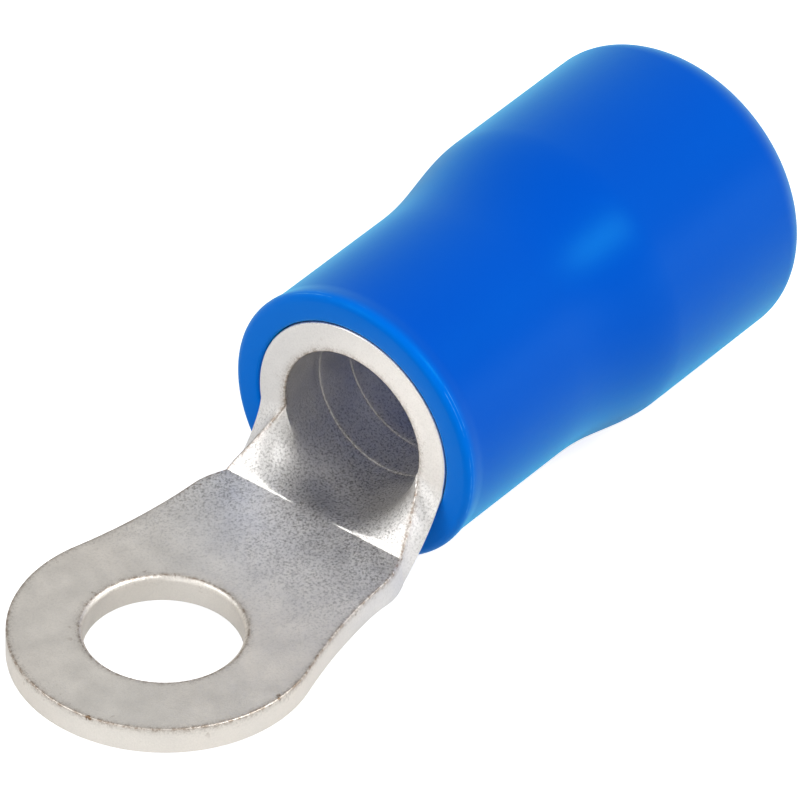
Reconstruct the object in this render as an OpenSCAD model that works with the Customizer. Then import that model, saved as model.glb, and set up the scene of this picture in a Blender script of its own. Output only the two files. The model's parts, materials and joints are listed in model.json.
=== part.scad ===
// Vinyl-insulated ring terminal for an M5 stud and 16 mm2 wire, in millimetres.
// One stamped and rolled sheet-copper terminal sits inside one moulded PVC sleeve.
// The origin is the centre of the stud hole on the underside of the tongue.
// +Z runs up along the hole, +X along the barrel towards the wire entry.

/* [Tongue] */
// Diameter of the stud hole
hole_d = 5.3; // [4.2:0.1:6.2]
// Outside diameter of the ring
ring_d = 10.34; // [9.4:0.02:12.4]
// Thickness of the sheet in the tongue
tongue_t = 1; // [0.7:0.05:1.3]
// Width of the tongue at the end of its concave sides
shoulder_w = 8.14; // [7.6:0.02:8.4]
// Width of the tongue at the crease, where the sheet is drawn in
neck_w = 7.5; // [6.6:0.05:7.6]
// Length over which the tongue is drawn in, in front of the crease
shoulder_len = 0.85; // [0.4:0.05:1.6]
// Distance from the hole to the crease behind the tongue
crease_x = 7.8; // [7:0.1:12]
// Radius of the concave sides behind the ring
waist_r = 22; // [10:1:80]
// Rounded rim that the punch leaves round the top of the hole
hole_round = 0.3; // [0.05:0.05:0.5]

/* [Neck] */
// Length of the neck from the crease to the face of the barrel
neck_len = 1.94; // [1.4:0.02:4]
// Angle from the bottom of the barrel up to the end of each cheek
cheek_a = 80; // [60:1:100]
// Depth of the bore's lowest line below the top of the tongue
bore_drop = 0.35; // [0:0.01:0.8]

/* [Barrel] */
// Bore of the barrel
barrel_bore_d = 5.65; // [5:0.05:6.2]
// Wall of the barrel
barrel_wall = 1.09; // [0.8:0.01:1.3]
// Length of the barrel
barrel_len = 8.5; // [7:0.1:10]
// Countersink at the wire end of the bore
entry_bevel = 0.35; // [0.1:0.05:0.6]
// Bevel round the outside of the barrel's wire end
tail_bevel = 0.2; // [0.05:0.05:0.4]
// Number of grip grooves in the bore
groove_count = 3; // [1:1:4]
// Depth of a grip groove
groove_depth = 0.07; // [0.03:0.01:0.12]
// Length of a grip groove, from where it starts to slope in to its step
groove_len = 0.4; // [0.2:0.05:0.8]
// Distance from the barrel's face to the step of the first groove
groove_start = 1.85; // [1.2:0.05:2.5]
// Distance from one groove to the next
groove_pitch = 1.6; // [1:0.05:1.65]

/* [Sleeve] */
// Clearance on the radius between the barrel and the sleeve
sleeve_fit = 0.04; // [0.02:0.01:0.1]
// Wall of the sleeve round the barrel
grip_wall = 0.94; // [0.7:0.02:1.3]
// Height of the bead round the sleeve's front lip
lip_bead = 0.07; // [0.02:0.01:0.2]
// Bore of the sleeve at the wire entry
entry_bore_d = 9; // [8.8:0.1:10.6]
// Wall of the sleeve at the wire entry
entry_wall = 1; // [0.7:0.05:1.4]
// Length of the wide bore, from the funnel to the end of the sleeve
entry_len = 7.2; // [5:0.1:12]
// Length of the funnel between the two bores
funnel_len = 2.4; // [1.5:0.1:4]
// Length of the step on the outside of the sleeve
step_len = 4.8; // [3:0.1:7]
// Radius of the rounded edge at the sleeve's front lip
lip_round = 0.3; // [0.1:0.05:0.4]
// Length over which the wire end is rounded off
crown_len = 1.2; // [0.6:0.1:3]
// How much of the wall the rounding takes off at the wire end
crown_share = 0.62; // [0.1:0.02:0.66]

/* [Hidden] */
$fn = 96;
tin = [0.80, 0.79, 0.76];
blue_pvc = [0.0, 0.35, 0.82];

// Steps along the waist, across the neck, along it, along the sleeve's step and round a small fillet
waist_steps = 16;
across_steps = 24;
along_steps = 8;
step_steps = 16;
round_steps = 6;
// How far the neck runs into the tongue and the barrel, how deep it lies in the barrel's wall
// there, and how far its two faces step in at the barrel's face
root_len = 0.3;
root_inset = 0.12;
seam_step = 0.01;
// Power with which the edges of the neck's upper and lower faces rise
upper_power = 1;
under_power = 1.5;
// Power that sets the sleeve's step back: above 1 it starts late and ends soon
step_power = 1.3;
// How far a cutting shape reaches past the surface that it cuts
cut_over = 1;

barrel_ri = barrel_bore_d / 2;
barrel_ro = barrel_ri + barrel_wall;
barrel_z = tongue_t - bore_drop + barrel_ri;
face_x = crease_x + neck_len;
tail_x = face_x + barrel_len;

grip_ri = barrel_ro + sleeve_fit;
grip_ro = grip_ri + grip_wall;
entry_ri = entry_bore_d / 2;
entry_ro = entry_ri + entry_wall;
sleeve_len = barrel_len + funnel_len + entry_len;
// The step's middle lies over the barrel's tail, so that the wall stays even behind it
step_start = barrel_len - step_len / 2;
bead_len = 3 * lip_round;
crown_drop = crown_share * entry_wall;
// The two rounded edges at the wire end share the wall that is left there with a narrow flat
end_round = 0.4 * (entry_wall - crown_drop);
// Slope at which the crown meets the outer one of these edges
crown_a = atan(2 * crown_drop / crown_len);
crown_curve = crown_len - end_round * (1 - sin(crown_a));

function mix(a, b, w) = a + (b - a) * w;
function smooth(w) = w * w * (3 - 2 * w);
// Points along an arc, from angle a0 to a1
function arc(c, r, a0, a1, n) = [for (i = [0:n]) let (a = mix(a0, a1, i / n)) c + r * [cos(a), sin(a)]];

// Centre of the waist's arc: it touches the ring and passes through the shoulder
shoulder = [crease_x - shoulder_len, shoulder_w / 2];
corner = [crease_x, neck_w / 2];
waist_reach = ring_d / 2 + waist_r;
waist_along = (waist_reach * waist_reach - waist_r * waist_r + shoulder * shoulder) / (2 * norm(shoulder));
waist_aside = sqrt(waist_reach * waist_reach - waist_along * waist_along);
waist_c = (waist_along * shoulder + waist_aside * [-shoulder.y, shoulder.x]) / norm(shoulder);
// One side of the tongue, from the ring to the crease
waist_a0 = atan2(-waist_c.y, -waist_c.x);
waist_a1 = atan2(shoulder.y - waist_c.y, shoulder.x - waist_c.x);
waist_side = concat(arc(waist_c, waist_r, waist_a0, waist_a1, waist_steps), [corner]);

module tongue_outline() {
    circle(d = ring_d);
    polygon(concat([[0, 0]], waist_side, [for (i = [waist_steps + 1:-1:0]) [waist_side[i].x, -waist_side[i].y]]));
}

// Flat tongue with its stud hole, whose top rim is rounded
module tongue() {
    difference() {
        linear_extrude(tongue_t) tongue_outline();
        translate([0, 0, -cut_over]) cylinder(d = hole_d, h = tongue_t + 2 * cut_over);
        translate([0, 0, tongue_t - hole_round])
            rotate_extrude()
                difference() {
                    square([hole_d / 2 + hole_round, hole_round + cut_over]);
                    translate([hole_d / 2 + hole_round, 0]) circle(r = hole_round, $fn = 48);
                }
    }
}

// A point of the neck's sheet. w runs from the crease (0) to the barrel (1) and u from one cut edge
// (-1) to the other (1); z is its height in the flat tongue and r its radius in the barrel.
// The middle rises smoothly; the cheeks' edges rise with the power given, which makes the crease.
function sheet_point(w, u, z, r, power) =
    let (lift = mix(smooth(w), pow(w, power), abs(u)), a = cheek_a * u)
    [crease_x + neck_len * w, mix(corner.y * u, r * sin(a), lift), mix(z, barrel_z - r * cos(a), lift)];

// One closed section of the neck: across the upper face and back across the lower one
function sheet_section(w, inset, edge) =
    let (bulge = 1 / cos(cheek_a / across_steps), step = inset + seam_step)
    concat(
        [for (i = [0:across_steps]) let (u = mix(-edge, edge, i / across_steps))
            sheet_point(w, u, tongue_t, (barrel_ri + step) * bulge, upper_power)],
        [for (i = [0:across_steps]) let (u = mix(edge, -edge, i / across_steps))
            sheet_point(w, u, 0, barrel_ro - step, under_power)]);

function shift_x(points, dx) = [for (p = points) p + [dx, 0, 0]];

// The neck: a loft from the flat sheet to the barrel's arc, with a root inside each of them
module neck() {
    ring_n = 2 * (across_steps + 1);
    sections = concat(
        [shift_x(sheet_section(0, 0, 1), -root_len)],
        [for (k = [0:along_steps]) sheet_section(k / along_steps, 0, 1)],
        [shift_x(sheet_section(1, root_inset, 1 - root_inset / corner.y), root_len)]);
    count = len(sections);
    walls = [for (k = [0:count - 2]) for (i = [0:ring_n - 1])
        let (a = k * ring_n + i, b = k * ring_n + (i + 1) % ring_n)
        each [[a, b, b + ring_n], [a, b + ring_n, a + ring_n]]];
    strip = [for (i = [0:across_steps - 1]) [i, i + 1, ring_n - 2 - i, ring_n - 1 - i]];
    front = [for (q = strip) [q[3], q[2], q[1], q[0]]];
    back = [for (q = strip) [for (i = q) i + (count - 1) * ring_n]];
    polyhedron([for (s = sections) each s], concat(front, walls, back));
}

// A grip groove in the bore: it slopes in and ends in a step at the height z
module groove(z) {
    rotate_extrude()
        polygon([[barrel_ri - cut_over, z - groove_len], [barrel_ri, z - groove_len],
            [barrel_ri + groove_depth, z], [barrel_ri - cut_over, z]]);
}

// Rolled barrel, grooved inside and bevelled where the wire goes in
module barrel() {
    translate([face_x, 0, barrel_z])
        rotate([0, 90, 0])
            difference() {
                rotate_extrude()
                    polygon([[0, 0], [barrel_ro, 0], [barrel_ro, barrel_len - tail_bevel],
                        [barrel_ro - tail_bevel, barrel_len], [0, barrel_len]]);
                translate([0, 0, -cut_over]) cylinder(d = barrel_bore_d, h = barrel_len + 2 * cut_over);
                translate([0, 0, barrel_len - entry_bevel])
                    cylinder(r1 = barrel_ri, r2 = barrel_ri + 2 * entry_bevel, h = 2 * entry_bevel);
                for (i = [0:groove_count - 1]) groove(groove_start + i * groove_pitch);
            }
}

module terminal() {
    color(tin) union() {
        tongue();
        neck();
        barrel();
    }
}

// Outside of the sleeve, from its front lip to its wire end, as [radius, distance from the lip]
sleeve_skin = concat(
    arc([grip_ro + lip_bead - lip_round, lip_round], lip_round, -90, 0, round_steps),
    [[grip_ro, bead_len]],
    [for (i = [0:step_steps]) let (w = i / step_steps)
        [mix(grip_ro, entry_ro, smooth(pow(w, step_power))), step_start + step_len * w]],
    [for (i = [0:round_steps]) let (w = i / round_steps)
        [entry_ro - crown_drop * w * w, sleeve_len - crown_len + crown_curve * w]],
    arc([entry_ro - crown_drop - end_round * cos(crown_a), sleeve_len - end_round],
        end_round, crown_a, 90, round_steps));

// Inside of the sleeve, from its wire end back to the lip
sleeve_core = concat(
    arc([entry_ri + end_round, sleeve_len - end_round], end_round, 90, 180, round_steps),
    [[entry_ri, sleeve_len - entry_len], [grip_ri, barrel_len], [grip_ri, 0]]);

module sleeve() {
    color(blue_pvc)
        translate([face_x, 0, barrel_z])
            rotate([0, 90, 0])
                rotate_extrude() polygon(concat(sleeve_skin, sleeve_core));
}

terminal();
sleeve();
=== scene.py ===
"""Looks of a vinyl-insulated ring terminal: tinned copper tongue and barrel in a blue PVC sleeve.

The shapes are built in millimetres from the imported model's own sizes, and written to the mesh in
metres. Both CAD nodes are replaced by finer meshes of the same form.
"""
import json
import math

import bmesh
import bpy
from mathutils import Matrix, Vector
from mathutils.kdtree import KDTree


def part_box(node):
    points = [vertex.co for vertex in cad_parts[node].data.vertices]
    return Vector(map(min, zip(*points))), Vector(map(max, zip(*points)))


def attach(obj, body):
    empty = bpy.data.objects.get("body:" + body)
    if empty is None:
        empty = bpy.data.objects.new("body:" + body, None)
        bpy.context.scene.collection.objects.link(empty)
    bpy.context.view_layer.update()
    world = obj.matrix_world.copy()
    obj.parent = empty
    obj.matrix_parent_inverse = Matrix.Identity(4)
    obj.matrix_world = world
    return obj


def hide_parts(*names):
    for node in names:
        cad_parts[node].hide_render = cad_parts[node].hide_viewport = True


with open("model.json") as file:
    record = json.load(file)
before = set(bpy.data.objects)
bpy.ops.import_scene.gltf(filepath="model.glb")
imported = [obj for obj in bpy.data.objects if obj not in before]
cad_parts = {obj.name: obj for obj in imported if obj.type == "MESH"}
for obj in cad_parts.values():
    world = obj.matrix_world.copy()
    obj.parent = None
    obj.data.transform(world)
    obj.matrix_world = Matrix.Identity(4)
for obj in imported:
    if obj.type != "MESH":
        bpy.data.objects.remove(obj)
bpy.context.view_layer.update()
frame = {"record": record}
MM = 0.001

# ---------------------------------------------------------------- sizes, in millimetres
mounts = {m["name"]: m for m in frame["record"]["mounts"]}
term_lo, term_hi = (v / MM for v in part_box("terminal"))
skin_lo, skin_hi = (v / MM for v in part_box("sleeve"))

HOLE_R = mounts["stud_hole"]["dims"]["r_mm"]
BORE_R = mounts["wire_barrel"]["dims"]["r_mm"]
ENTRY_R = mounts["cable_entry"]["dims"]["r_mm"]
AXIS_Z = mounts["wire_barrel"]["pos_m"][2] / MM
RING_R = -term_lo.x
BARREL_R = AXIS_Z - term_lo.z
FACE_X = skin_lo.x
TAIL_X = term_hi.x
END_X = skin_hi.x
SKIN_R = skin_hi.y

SHEET_T = 1.0          # thickness of the tongue
CREASE_X = 7.8         # crease across the tongue
SHOULDER_X = 6.95      # end of the tongue's concave sides
SHOULDER_Y = 4.07      # half width of the tongue there
NECK_Y = 3.72          # half width at the crease, on the upper face
NECK_LOW_Y = 3.85      # the same on the lower face, which the bending pushes out
WAIST_R = 22.0         # concave sides of the tongue
CHEEK = 80.0           # where the cheeks meet the barrel's face, degrees from the bottom
SAG_X = 5.8            # where the underside starts to thicken towards the crease
SAG = 0.06             # how far it has thickened at the crease
FACET = 0.13           # how far along the neck the flat facets behind the crease reach, at its ends
RIM_ROUND = 0.2        # rolled rim of the stud hole
SHEAR_ROUND = 0.06     # rolled edge left by the punch on the upper face
BURR_ROUND = 0.05      # tight edge on the lower face
FACE_ROUND = 0.07      # edges of the barrel's face
GROOVES = (1.85, 3.45, 5.05)   # serrations inside the barrel, behind its face
GROOVE_W = 0.4         # each one deepens over this length, then ends in a small step
GROOVE_D = 0.018
BEHIND_FACE = 0.25     # first ring of points behind the barrel's face
MOUTH_BEVEL = 0.35     # bevel of the bore at the wire end
TAIL_BEVEL = 0.2       # bevel of the outside at the wire end
NECK_EDGE_U = 0.985    # the neck's rows stop here, short of the rounded edge
WEAR_REACH = 0.16      # how fast the dark specks fade away from the cut edges

GRIP_R = 4.895         # outside of the sleeve round the barrel
GRIP_GAP = 0.04        # clearance between sleeve and barrel
LIP_ROUND = 0.28       # round front edge of the lip
BEAD = 0.07            # how far the lip stands out
BEAD_END = 3.2 * LIP_ROUND     # where the lip has come down to the grip
STEP_HALF = 2.4        # the step reaches this far to each side of the barrel's end
STEP_POWER = 1.3       # makes the step start slowly
CROWN = 1.2            # length over which the wire end closes in
CROWN_DROP = 0.62      # how much its radius loses there
END_ROUND = 0.152      # rounded rim of the wire end
GRIP_ROUND = 0.12      # rounded edge of the sleeve's bore at the lip


def mix(a, b, w):
    return a + (b - a) * w


def smooth(w):
    w = min(1.0, max(0.0, w))
    return w * w * (3 - 2 * w)


# ---------------------------------------------------------------- mesh helpers
class Weave:
    """Collects points, in millimetres, and quads; points that fall together become one."""

    def __init__(self):
        self.points, self.faces, self.index = [], [], {}

    def point(self, p):
        key = tuple(round(c, 4) for c in p)
        if key not in self.index:
            self.index[key] = len(self.points)
            self.points.append(Vector(p))
        return self.index[key]

    def grid(self, rows, flip=False):
        ids = [[self.point(p) for p in row] for row in rows]
        for r0, r1 in zip(ids, ids[1:]):
            for a, b, c, d in zip(r0, r0[1:], r1[1:], r1):
                loop = list(dict.fromkeys((a, b, c, d)))
                if len(loop) > 2:
                    self.faces.append(loop[::-1] if flip else loop)

    def mirrored(self):
        """The same half on the other side of y = 0, joined along it."""
        for face in list(self.faces):
            self.faces.append([self.point((self.points[k].x, -self.points[k].y, self.points[k].z))
                               for k in face][::-1])

    def to_object(self, name):
        mesh = bpy.data.meshes.new(name)
        mesh.from_pydata([p * MM for p in self.points], [], self.faces)
        mesh.validate()
        tidy = bmesh.new()
        tidy.from_mesh(mesh)
        bmesh.ops.recalc_face_normals(tidy, faces=tidy.faces)
        tidy.to_mesh(mesh)
        tidy.free()
        mesh.shade_smooth()
        mesh.set_sharp_from_angle(angle=math.radians(24))
        obj = bpy.data.objects.new(name, mesh)
        bpy.context.scene.collection.objects.link(obj)
        return obj


def rounded(top, bottom, top_in, bottom_in, top_r, bottom_r, steps=5, wall=4):
    """Profile of one edge wall, from the upper face over the wall to the lower face."""
    down = (bottom - top).normalized()
    rows = []
    for i in range(steps + 1):
        a = math.pi / 2 * i / steps
        rows.append(top + top_in * top_r * (1 - math.sin(a)) + down * top_r * (1 - math.cos(a)))
    lower = [bottom + bottom_in * bottom_r * (1 - math.sin(a)) - down * bottom_r * (1 - math.cos(a))
             for a in (math.pi / 2 * i / steps for i in range(steps, -1, -1))]
    start, end = rows[-1], lower[0]
    rows += [mix(start, end, i / wall) for i in range(1, wall)]
    return rows + lower


# ---------------------------------------------------------------- the stamped and rolled terminal
def waist_circle():
    """Centre of the concave side: it touches the ring and passes through the shoulder."""
    shoulder = Vector((SHOULDER_X, SHOULDER_Y))
    reach = RING_R + WAIST_R
    along = (reach ** 2 - WAIST_R ** 2 + shoulder.length_squared) / (2 * shoulder.length)
    aside = math.sqrt(reach ** 2 - along ** 2)
    n = shoulder.normalized()
    return n * along + Vector((-n.y, n.x)) * aside


def outline_points():
    """The tongue's half outline from its tip to the crease corner, each with its inward normal."""
    centre = waist_circle()
    touch = math.atan2(centre.y, centre.x)
    points = []
    for i in range(72):
        a = mix(math.pi, touch, i / 72)
        points.append(Vector((math.cos(a), math.sin(a))) * RING_R)
    a0 = math.atan2(-centre.y, -centre.x)
    a1 = math.atan2(SHOULDER_Y - centre.y, SHOULDER_X - 0.4 - centre.x)
    for i in range(29):
        a = mix(a0, a1, i / 28)
        points.append(centre + Vector((math.cos(a), math.sin(a))) * WAIST_R)
    # The shoulder is a soft bend, then the side runs straight to the crease
    shoulder, corner = Vector((SHOULDER_X, SHOULDER_Y)), Vector((CREASE_X, NECK_Y))
    start, end = points[-1], shoulder.lerp(corner, 0.5)
    for i in range(1, 9):
        points.append(start.lerp(shoulder, i / 8).lerp(shoulder.lerp(end, i / 8), i / 8))
    for i in range(1, 5):
        points.append(end.lerp(corner, i / 4))
    pairs = []
    for k, p in enumerate(points):
        t = (points[min(k + 1, len(points) - 1)] - points[max(k - 1, 0)]).normalized()
        pairs.append((p, Vector((t.y, -t.x)) if k else Vector((1, 0))))
    return pairs


def low_push(x):
    """How far the lower edge stands out beyond the upper one, growing towards the crease."""
    return (NECK_LOW_Y - NECK_Y) * smooth((x - SAG_X) / (CREASE_X - SAG_X))


def sag(x):
    return -SAG * smooth((x - SAG_X) / (CREASE_X - SAG_X))


def sheet(w, u, upper):
    """A point of the neck: w from the crease to the barrel's face, u from the middle to the edge."""
    a = math.radians(CHEEK * u)
    side = abs(u)
    lift = mix(smooth(w), w, side)

    def along(t):
        # The edges swing up into the face, so that they meet it without a corner
        return mix(CREASE_X, FACE_X, mix(t, 1 - (1 - t) ** (1.3 if upper else 1.6), side ** 2))

    if not upper:
        y = mix(NECK_LOW_Y * u, BARREL_R * math.sin(a), lift)
        return Vector((along(w), y, mix(-SAG, AXIS_Z - BARREL_R * math.cos(a), lift)))
    y = mix(NECK_Y * u, BORE_R * math.sin(a), lift)
    # Behind the crease a flat facet rises at 45 degrees; past its end the sheet curls into the bore
    reach = FACET * max(0.0, (side - 0.12) / 0.88) ** 1.4
    if w < reach:
        return Vector((along(w), y, SHEET_T + along(w) - CREASE_X))
    top, goal = SHEET_T + along(reach) - CREASE_X, AXIS_Z - BORE_R * math.cos(a)
    t = (w - reach) / (1 - reach)
    ease = mix(smooth(t), 1 - (1 - t) ** 2, min(1.0, max(0.0, (side - 0.1) / 0.4)))
    return Vector((along(w), y, mix(top, goal, mix(ease, t, side ** 3))))


def on_barrel(x, a, r):
    return Vector((x, r * math.sin(a), AXIS_Z - r * math.cos(a)))


def build_terminal():
    weave = Weave()
    # The half outline as (upper edge, lower edge, inward above, inward below, rounding above and below):
    # first the tongue's side, then the neck's cut edge, then the barrel's face up to its top
    stations = []
    for p, n in outline_points()[:-1]:
        inward = Vector((n.x, n.y, 0))
        top, low = Vector((p.x, p.y, SHEET_T)), Vector((p.x, p.y, sag(p.x))) - inward * low_push(p.x)
        stations.append((top, low, inward, inward, SHEAR_ROUND, BURR_ROUND))
    tongue_n = len(stations)
    rows = [0.0, 0.02] + [i / 32 for i in range(2, 33)]
    back = Vector((1, 0, 0))
    for w in rows:
        top, low = sheet(w, 1, True), sheet(w, 1, False)
        top_in = (sheet(w, 0.97, True) - top).normalized()
        low_in = (sheet(w, 0.97, False) - low).normalized()
        # The rounding turns from the sheet's own plane to the barrel's axis
        turn = smooth((w - 0.7) / 0.3)
        top_in = mix(top_in, back, turn).normalized()
        low_in = mix(low_in, back, turn).normalized()
        edge = mix(SHEAR_ROUND, FACE_ROUND, w)
        stations.append((top, low, top_in, low_in, edge, FACE_ROUND))
    face_start = len(stations)
    arc_steps = [i / 44 for i in range(1, 45)]
    for f in arc_steps:
        a = math.radians(mix(CHEEK, 180, f))
        stations.append((on_barrel(FACE_X, a, BORE_R), on_barrel(FACE_X, a, BARREL_R),
                         back, back, FACE_ROUND, FACE_ROUND))

    walls = [rounded(*s) for s in stations]
    weave.grid(walls)
    top_line = [w[0] for w in walls]
    low_line = [w[-1] for w in walls]

    # Neck: rows run from the middle to the wall's inner line
    us = [i / 40 for i in range(40)]

    def neck(line, is_upper):
        return [[sheet(w, u * NECK_EDGE_U, is_upper) for u in us] + [line[tongue_n + k]]
                for k, w in enumerate(rows)]

    upper, lower = neck(top_line, True), neck(low_line, False)
    weave.grid(upper)
    weave.grid(lower, flip=True)

    # Tongue: strips from the outline and the crease line in to the hole, close together at both ends
    across_tongue = (0, 0.015, 0.04, 0.07, 0.11, 0.16, 0.23, 0.32, 0.42, 0.52,
                     0.62, 0.71, 0.79, 0.86, 0.92, 0.965, 1)

    def strips(line, crease, rim_r, z_of, flip):
        outer = line[:tongue_n] + [crease[-1]] + crease[-2::-1]
        strip_rows = []
        for p in outer:
            d = Vector((p.x, p.y)).normalized()
            row = []
            for f in across_tongue:
                q = Vector((p.x, p.y)).lerp(d * rim_r, f)
                row.append(Vector((q.x, q.y, p.z if f == 0 else z_of(q.x))))
            strip_rows.append(row)
        weave.grid(strip_rows, flip=flip)
        return [row[-1] for row in strip_rows]

    rim = strips(top_line, upper[0], HOLE_R + RIM_ROUND, lambda x: SHEET_T, True)
    low_rim = strips(low_line, lower[0], HOLE_R + BURR_ROUND, sag, False)
    hole = []
    for p, q in zip(rim, low_rim):
        out, low_out = Vector((p.x, p.y, 0)).normalized(), Vector((q.x, q.y, 0)).normalized()
        top = out * HOLE_R + Vector((0, 0, SHEET_T))
        hole.append(rounded(top, low_out * HOLE_R, out, low_out, RIM_ROUND, BURR_ROUND))
    weave.grid(hole, flip=True)

    # Barrel: the columns of the neck, then those of the face, run back to the wire end
    def columns(rows_, line):
        cols = [(p, math.radians(CHEEK * u)) for p, u in zip(rows_[-1], us + [1.0])]
        for f, p in zip(arc_steps, line[face_start:]):
            cols.append((p, math.radians(mix(CHEEK, 180, f))))
        return cols

    def groove(behind):
        """Depth of the serrations at a distance behind the barrel's face."""
        for g in GROOVES:
            t = (behind - g) / GROOVE_W + 1
            if 0 < t < 1.08:
                return GROOVE_D * (smooth(t / 0.75) if t < 0.98 else max(0.0, 1 - (t - 0.98) / 0.1))
        return 0.0

    xs = sorted({round(mix(BEHIND_FACE, TAIL_X - FACE_X - 0.4, i / 22), 3) for i in range(23)}
                | {round(g + GROOVE_W * (t - 1), 3) for g in GROOVES
                   for t in (0, 0.2, 0.4, 0.6, 0.8, 0.97, 1.0, 1.04, 1.1)})
    inner, outer = [], []
    for p, a in columns(upper, top_line):
        col = [p] + [on_barrel(FACE_X + x, a, BORE_R + groove(x)) for x in xs]
        for i in range(1, 5):
            col.append(on_barrel(TAIL_X - MOUTH_BEVEL * (1 - i / 4), a, BORE_R + MOUTH_BEVEL * i / 4))
        inner.append(col)
    for p, a in columns(lower, low_line):
        start, end = FACE_X + BEHIND_FACE, TAIL_X - TAIL_BEVEL
        col = [p] + [on_barrel(mix(start, end, i / 8), a, BARREL_R) for i in range(9)]
        for i in range(1, 4):
            col.append(on_barrel(TAIL_X - TAIL_BEVEL * (1 - i / 3), a, BARREL_R - TAIL_BEVEL * i / 3))
        outer.append(col)
    weave.grid(inner)
    weave.grid(outer, flip=True)
    weave.grid([[mix(a[-1], b[-1], i / 3) for i in range(4)] for a, b in zip(inner, outer)])
    weave.mirrored()
    terminal = weave.to_object("terminal_body")

    # Nearness to the upper cut edges, for the dark specks that gather along them
    edge_points = [w[3] for w in walls] + [w[1] for w in walls] + [h[1] for h in hole]
    tree = KDTree(2 * len(edge_points))
    for k, q in enumerate(edge_points):
        tree.insert((q.x, q.y, q.z), 2 * k)
        tree.insert((q.x, -q.y, q.z), 2 * k + 1)
    tree.balance()
    near = terminal.data.attributes.new("edge_near", "FLOAT", "POINT")
    for vertex, item in zip(terminal.data.vertices, near.data):
        item.value = math.exp(-tree.find(vertex.co / MM)[2] / WEAR_REACH)
    return terminal


# ---------------------------------------------------------------- the moulded sleeve
def sleeve_profile():
    """Closed profile of the sleeve as (distance behind the lip, radius), outside first."""
    length, barrel, grip_bore = END_X - FACE_X, TAIL_X - FACE_X, BARREL_R + GRIP_GAP
    step_start, step_end = barrel - STEP_HALF, barrel + STEP_HALF
    out = []

    def arc(x, r, radius, start, stop, steps, first=1):
        for i in range(first, steps + 1):
            a = math.radians(mix(start, stop, i / steps))
            out.append((x + radius * math.sin(a), r + radius * math.cos(a)))

    def straight(x0, x1, r, steps, last):
        for i in range(1, last + 1):
            out.append((mix(x0, x1, i / steps), r))

    # Outside: lip and bead, grip, step, body, crown
    arc(LIP_ROUND, GRIP_R + BEAD - LIP_ROUND, LIP_ROUND, -90, 0, 8, first=0)
    for i in range(1, 9):
        out.append((mix(LIP_ROUND, BEAD_END, i / 8), GRIP_R + BEAD * (1 - smooth(i / 8))))
    straight(BEAD_END, step_start, GRIP_R, 14, 13)
    for i in range(41):
        w = i / 40
        out.append((mix(step_start, step_end, w), mix(GRIP_R, SKIN_R, smooth(w ** STEP_POWER))))
    straight(step_end, length - CROWN, SKIN_R, 10, 9)
    slope = math.atan(2 * CROWN_DROP / CROWN)
    curve = CROWN - END_ROUND * (1 - math.sin(slope))
    for i in range(17):
        w = i / 16
        out.append((length - CROWN + curve * w, SKIN_R - CROWN_DROP * w * w))

    # Rim of the wire end, then back inside: entry, funnel, bore round the barrel
    rim_x, rim_r = length - END_ROUND, SKIN_R - CROWN_DROP - END_ROUND * math.cos(slope)
    arc(rim_x, rim_r, END_ROUND, math.degrees(slope), 90, 6)
    arc(rim_x, ENTRY_R + END_ROUND, END_ROUND, 90, 180, 6, first=0)
    straight(rim_x, step_end, ENTRY_R, 8, 8)
    for i in range(1, 13):
        out.append((mix(step_end, barrel, i / 12), mix(ENTRY_R, grip_bore, smooth(i / 12))))
    straight(barrel, GRIP_ROUND, grip_bore, 10, 10)
    arc(GRIP_ROUND, grip_bore + GRIP_ROUND, GRIP_ROUND, 180, 270, 4)
    return out


def build_sleeve():
    weave = Weave()
    profile = sleeve_profile()
    profile.append(profile[0])
    turns = 288
    rows = []
    for k in range(turns + 1):
        a = 2 * math.pi * (k % turns) / turns
        rows.append([on_barrel(FACE_X + x, a, r) for x, r in profile])
    weave.grid(rows)
    return weave.to_object("sleeve_body")


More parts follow.
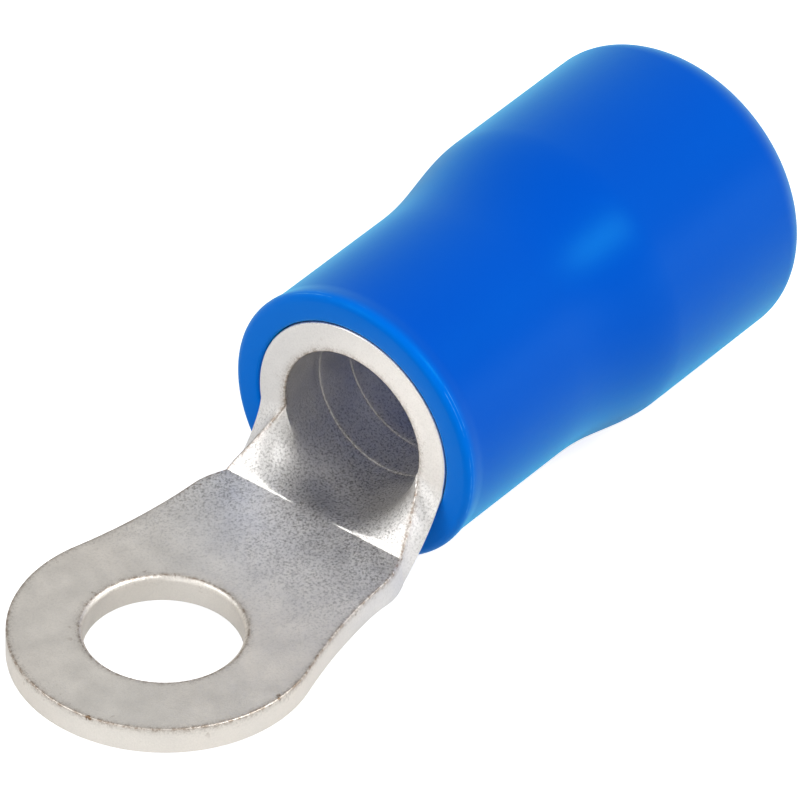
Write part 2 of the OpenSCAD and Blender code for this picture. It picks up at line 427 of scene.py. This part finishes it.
# ---------------------------------------------------------------- materials
class Nodes:
    """Short way to build the nodes of a material or a world."""

    def __init__(self, owner):
        self.owner = owner
        owner.use_nodes = True
        self.tree = owner.node_tree
        self.tree.nodes.clear()

    def add(self, kind, **settings):
        node = self.tree.nodes.new(kind)
        for key, value in settings.items():
            setattr(node, key, value)
        return node

    def link(self, a, b):
        self.tree.links.new(a, b)

    def value(self, node, name, value):
        node.inputs[name].default_value = value

    def feed(self, socket, value):
        """Links the value when it comes from another node, else sets it as a constant."""
        if isinstance(value, bpy.types.NodeSocket):
            self.link(value, socket)
        else:
            socket.default_value = value

    def noise(self, coords, scale, detail=4.0, rough=0.5):
        node = self.add("ShaderNodeTexNoise")
        for key, value in (("Scale", scale), ("Detail", detail), ("Roughness", rough)):
            self.value(node, key, value)
        self.link(coords, node.inputs["Vector"])
        return node.outputs["Fac"]

    def ramp(self, fac, *stops):
        node = self.add("ShaderNodeValToRGB")
        while len(node.color_ramp.elements) < len(stops):
            node.color_ramp.elements.new(0.5)
        for element, (position, colour) in zip(node.color_ramp.elements, stops):
            element.position = position
            element.color = (*colour, 1) if isinstance(colour, tuple) else (colour,) * 3 + (1,)
        self.link(fac, node.inputs["Fac"])
        return node.outputs["Color"]

    def mix(self, fac, a, b, blend="MIX"):
        node = self.add("ShaderNodeMix", data_type="RGBA", blend_type=blend)
        # Sockets 6, 7 and output 2 are the colour ones
        for number, value in ((0, fac), (6, a), (7, b)):
            self.feed(node.inputs[number], value)
        return node.outputs[2]

    def maths(self, operation, *values):
        node = self.add("ShaderNodeMath", operation=operation)
        for socket, value in zip(node.inputs, values):
            self.feed(socket, value)
        return node.outputs[0]

    def bump(self, height, distance, strength, normal=None):
        node = self.add("ShaderNodeBump")
        self.value(node, "Distance", distance)
        self.value(node, "Strength", strength)
        self.link(height, node.inputs["Height"])
        if normal is not None:
            self.link(normal, node.inputs["Normal"])
        return node.outputs["Normal"]

    def surface(self):
        shader = self.add("ShaderNodeBsdfPrincipled")
        out = self.add("ShaderNodeOutputMaterial")
        self.link(shader.outputs[0], out.inputs["Surface"])
        return shader


def tin_material():
    m = Nodes(bpy.data.materials.new("tinned_copper"))
    here = m.add("ShaderNodeTexCoord").outputs["Object"]
    shader = m.surface()
    m.value(shader, "Metallic", 1.0)
    grain = m.noise(here, 16000, 2.0, 0.7)
    pits = m.noise(here, 12500, 5.0, 0.75)
    mottle = m.noise(here, 900, 4.0, 0.55)
    patch = m.noise(here, 160, 2.0, 0.5)

    # The bending and rolling has roughened the coat, more and more from the ring to the crease
    split = m.add("ShaderNodeSeparateXYZ")
    m.link(here, split.inputs[0])
    worked = m.add("ShaderNodeMapRange", interpolation_type="SMOOTHSTEP")
    m.link(split.outputs["X"], worked.inputs["Value"])
    m.value(worked, "From Min", 0.001)
    m.value(worked, "From Max", 0.0075)
    m.value(worked, "To Min", 0.12)
    m.value(worked, "To Max", 1.0)
    near = m.add("ShaderNodeAttribute", attribute_name="edge_near").outputs["Fac"]
    facing = m.add("ShaderNodeSeparateXYZ")
    m.link(m.add("ShaderNodeTexCoord").outputs["Normal"], facing.inputs[0])
    upward = m.maths("SMOOTH_MAX", m.maths("MULTIPLY", facing.outputs["Z"], 1.4), 0.15, 0.2)
    grit = m.maths("MAXIMUM", m.maths("MULTIPLY", worked.outputs["Result"], upward), near)
    spread = m.maths("MULTIPLY", grit, m.ramp(patch, (0.3, 0.45), (0.6, 1.0)))

    tone = m.mix(0.5, m.ramp(grain, (0.3, 0.86), (0.7, 0.97)), m.ramp(mottle, (0.3, 0.88), (0.7, 0.95)))
    warm = m.ramp(patch, (0.35, (0.98, 0.935, 0.865)), (0.65, (1.0, 0.94, 0.86)))
    tint = m.mix(worked.outputs["Result"], warm, (0.975, 0.955, 0.93, 1))
    clean = m.mix(1.0, tone, tint, "MULTIPLY")
    pitted = m.maths("MULTIPLY", spread, m.ramp(pits, (0.35, 0.75), (0.53, 0.0)))
    speckled = m.mix(pitted, clean, (0.22, 0.20, 0.18, 1))
    # Brown specks right on the sheared edges
    chips = m.ramp(m.noise(here, 5200, 4.0, 0.75), (0.42, 0.0), (0.56, 0.85))
    bite = m.maths("MULTIPLY", m.maths("POWER", near, 2.5), m.maths("MAXIMUM", chips, 0.35))
    specks = m.ramp(m.noise(here, 2600, 3.0, 0.6), (0.66, 0.0), (0.70, 0.55))
    bite = m.maths("MAXIMUM", bite, m.maths("MULTIPLY", specks, m.maths("MULTIPLY", near, 2.5)))
    m.link(m.mix(bite, speckled, (0.25, 0.17, 0.11, 1)), shader.inputs["Base Color"])

    rough = m.ramp(mottle, (0.3, 0.40), (0.7, 0.52))
    m.link(rough, shader.inputs["Roughness"])
    fine = m.bump(grain, 0.00003, 0.4)
    coarse = m.bump(mottle, 0.00004, 0.12, fine)
    m.link(m.bump(pitted, 0.00003, -0.4, coarse), shader.inputs["Normal"])
    return m.owner


def pvc_material():
    m = Nodes(bpy.data.materials.new("blue_pvc"))
    here = m.add("ShaderNodeTexCoord").outputs["Object"]
    shader = m.surface()
    cloud = m.noise(here, 120, 2.0, 0.5)
    body = m.ramp(cloud, (0.3, (0.0, 0.062, 0.48)), (0.7, (0.0, 0.068, 0.50)))

    # Painted highlight: the lip and the very end of the sleeve are painted a shade lighter, standing in
    # for the light they catch at their edges
    split = m.add("ShaderNodeSeparateXYZ")
    m.link(here, split.inputs[0])
    for start, stop in ((FACE_X + 0.55, FACE_X + 0.1), (END_X - 0.5, END_X)):
        lit_edge_band = m.add("ShaderNodeMapRange", interpolation_type="SMOOTHSTEP")
        m.link(split.outputs["X"], lit_edge_band.inputs["Value"])
        m.value(lit_edge_band, "From Min", start * MM)
        m.value(lit_edge_band, "From Max", stop * MM)
        # Painted light: a lighter blue mixed into the base colour there, not a different plastic
        body = m.mix(lit_edge_band.outputs["Result"], body, (0.0, 0.130, 0.64, 1))

    # Two fine lighter lines round the lip, broken up along their length: painted highlights standing in
    # for glints off the bead
    painted_glint_lines = 0.0
    for behind, width in ((0.15, 0.022), (0.26, 0.016)):
        off = m.maths("ABSOLUTE", m.maths("SUBTRACT", split.outputs["X"], (FACE_X + behind) * MM))
        line = m.maths("SUBTRACT", 1.0, m.maths("DIVIDE", off, width * MM))
        painted_glint_lines = m.maths("MAXIMUM", line, painted_glint_lines)
    broken = m.ramp(m.noise(here, 700, 3.0, 0.6), (0.5, 0.0), (0.62, 0.7))
    # The painted glint lines are mixed into the base colour as a lighter blue
    body = m.mix(m.maths("MULTIPLY", painted_glint_lines, broken), body, (0.10, 0.36, 0.80, 1))
    m.link(body, shader.inputs["Base Color"])

    m.value(shader, "Roughness", 0.34)
    m.value(shader, "IOR", 1.5)
    m.value(shader, "Specular IOR Level", 0.17)
    m.value(shader, "Specular Tint", (0.0, 0.80, 0.92, 1))
    m.value(shader, "Sheen Weight", 0.6)
    m.value(shader, "Sheen Roughness", 0.45)
    m.value(shader, "Sheen Tint", (0.0, 0.64, 0.88, 1))
    skin = m.noise(here, 4000, 3.0, 0.5)
    m.link(m.bump(skin, 0.00001, 0.2), shader.inputs["Normal"])
    return m.owner


# ---------------------------------------------------------------- stage, light and camera
def white_seen(nodes, camera, gloss):
    """How white the surroundings are for the camera and, separately, for reflections."""
    path = nodes.add("ShaderNodeLightPath")
    seen = nodes.maths("MAXIMUM", path.outputs["Is Camera Ray"], path.outputs["Is Transmission Ray"])
    seen = nodes.maths("MULTIPLY", seen, camera)
    return nodes.maths("MULTIPLY_ADD", path.outputs["Is Glossy Ray"], gloss, seen)


def build_floor():
    half = 0.6
    z = skin_lo.z * MM
    mesh = bpy.data.meshes.new("floor")
    corners = [(x * half, y * half, z) for x, y in ((-1, -1), (1, -1), (1, 1), (-1, 1))]
    mesh.from_pydata(corners, [], [(0, 1, 2, 3)])
    floor = bpy.data.objects.new("floor", mesh)
    bpy.context.scene.collection.objects.link(floor)
    m = Nodes(bpy.data.materials.new("floor"))
    here = m.add("ShaderNodeTexCoord").outputs["Object"]
    diffuse = m.add("ShaderNodeBsdfDiffuse")
    m.link(m.ramp(m.noise(here, 30), (0.3, 0.60), (0.7, 0.62)), diffuse.inputs["Color"])
    glow = m.add("ShaderNodeEmission")
    m.link(white_seen(m, 0.82, 0.1), glow.inputs["Strength"])
    both = m.add("ShaderNodeAddShader")
    out = m.add("ShaderNodeOutputMaterial")
    m.link(diffuse.outputs[0], both.inputs[0])
    m.link(glow.outputs[0], both.inputs[1])
    m.link(both.outputs[0], out.inputs["Surface"])
    mesh.materials.append(m.owner)


def build_world():
    world = bpy.data.worlds.new("studio")
    bpy.context.scene.world = world
    m = Nodes(world)
    split = m.add("ShaderNodeSeparateXYZ")
    m.link(m.add("ShaderNodeTexCoord").outputs["Generated"], split.inputs[0])
    # Height of the direction, from straight down at 0 to straight up at 1
    height = m.maths("MULTIPLY_ADD", split.outputs["Z"], 0.5, 0.5)
    studio, white = m.add("ShaderNodeBackground"), m.add("ShaderNodeBackground")
    m.link(m.ramp(height, (0.0, 0.95), (0.45, 0.9), (0.8, 0.46), (1.0, 0.75)), studio.inputs["Color"])
    m.value(studio, "Strength", 0.85)
    m.value(white, "Color", (1, 1, 1, 1))
    m.value(white, "Strength", 1.0)
    pick, out = m.add("ShaderNodeMixShader"), m.add("ShaderNodeOutputWorld")
    m.link(white_seen(m, 1.0, 0.0), pick.inputs["Fac"])
    m.link(studio.outputs[0], pick.inputs[1])
    m.link(white.outputs[0], pick.inputs[2])
    m.link(pick.outputs[0], out.inputs["Surface"])


def area_light(name, target, direction, distance, size, power):
    data = bpy.data.lights.new(name, "AREA")
    data.shape = "DISK"
    data.size = size
    data.energy = power
    lamp = bpy.data.objects.new(name, data)
    direction = Vector(direction).normalized()
    lamp.location = Vector(target) + direction * distance
    lamp.rotation_mode = "QUATERNION"
    lamp.rotation_quaternion = direction.to_track_quat("Z", "Y")
    bpy.context.scene.collection.objects.link(lamp)


def build_lights():
    middle = (0.012, 0.0, 0.003)
    area_light("key", middle, (-0.60, 0.45, 0.66), 0.25, 0.12, 0.18)
    area_light("front", middle, (-0.92, -0.25, 0.30), 0.30, 0.20, 0.12)
    area_light("overhead", middle, (-0.08, -0.53, 0.84), 0.25, 0.07, 0.09)
    area_light("side", middle, (0.55, -0.80, 0.12), 0.30, 0.16, 0.09)
    area_light("spot", middle, (0.26, -0.60, 0.74), 0.30, 0.09, 0.44)


def build_camera():
    """A long lens from the ring's end, to the right of the barrel and well above it."""
    heading, drop, roll = (math.radians(a) for a in (37.169, 38.075, -1.805))
    level = math.cos(drop)
    forward = Vector((level * math.cos(heading), level * math.sin(heading), -math.sin(drop)))
    right = forward.cross(Vector((0, 0, 1))).normalized()
    down = forward.cross(right)
    x_axis = right * math.cos(roll) + down * math.sin(roll)
    y_axis = right * math.sin(roll) - down * math.cos(roll)
    data = bpy.data.cameras.new("camera")
    data.sensor_width = 36
    data.lens = 493.08
    data.shift_x = -0.0255
    data.shift_y = -0.0139
    data.clip_start = 0.01
    data.clip_end = 5
    camera = bpy.data.objects.new("camera", data)
    turn = Matrix((x_axis, y_axis, -forward)).transposed().to_4x4()
    camera.matrix_world = Matrix.Translation((-0.21558, -0.17366, 0.22803)) @ turn
    bpy.context.scene.collection.objects.link(camera)
    bpy.context.scene.camera = camera


# ---------------------------------------------------------------- put together
terminal = build_terminal()
terminal.data.materials.append(tin_material())
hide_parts("terminal")
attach(terminal, "root")

sleeve = build_sleeve()
sleeve.data.materials.append(pvc_material())
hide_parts("sleeve")
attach(sleeve, "root")

for piece in (terminal, sleeve):
    weighted = piece.modifiers.new("weighted", "WEIGHTED_NORMAL")
    weighted.keep_sharp = True

build_floor()
build_world()
build_lights()
build_camera()
bpy.context.scene.view_settings.view_transform = "Standard"
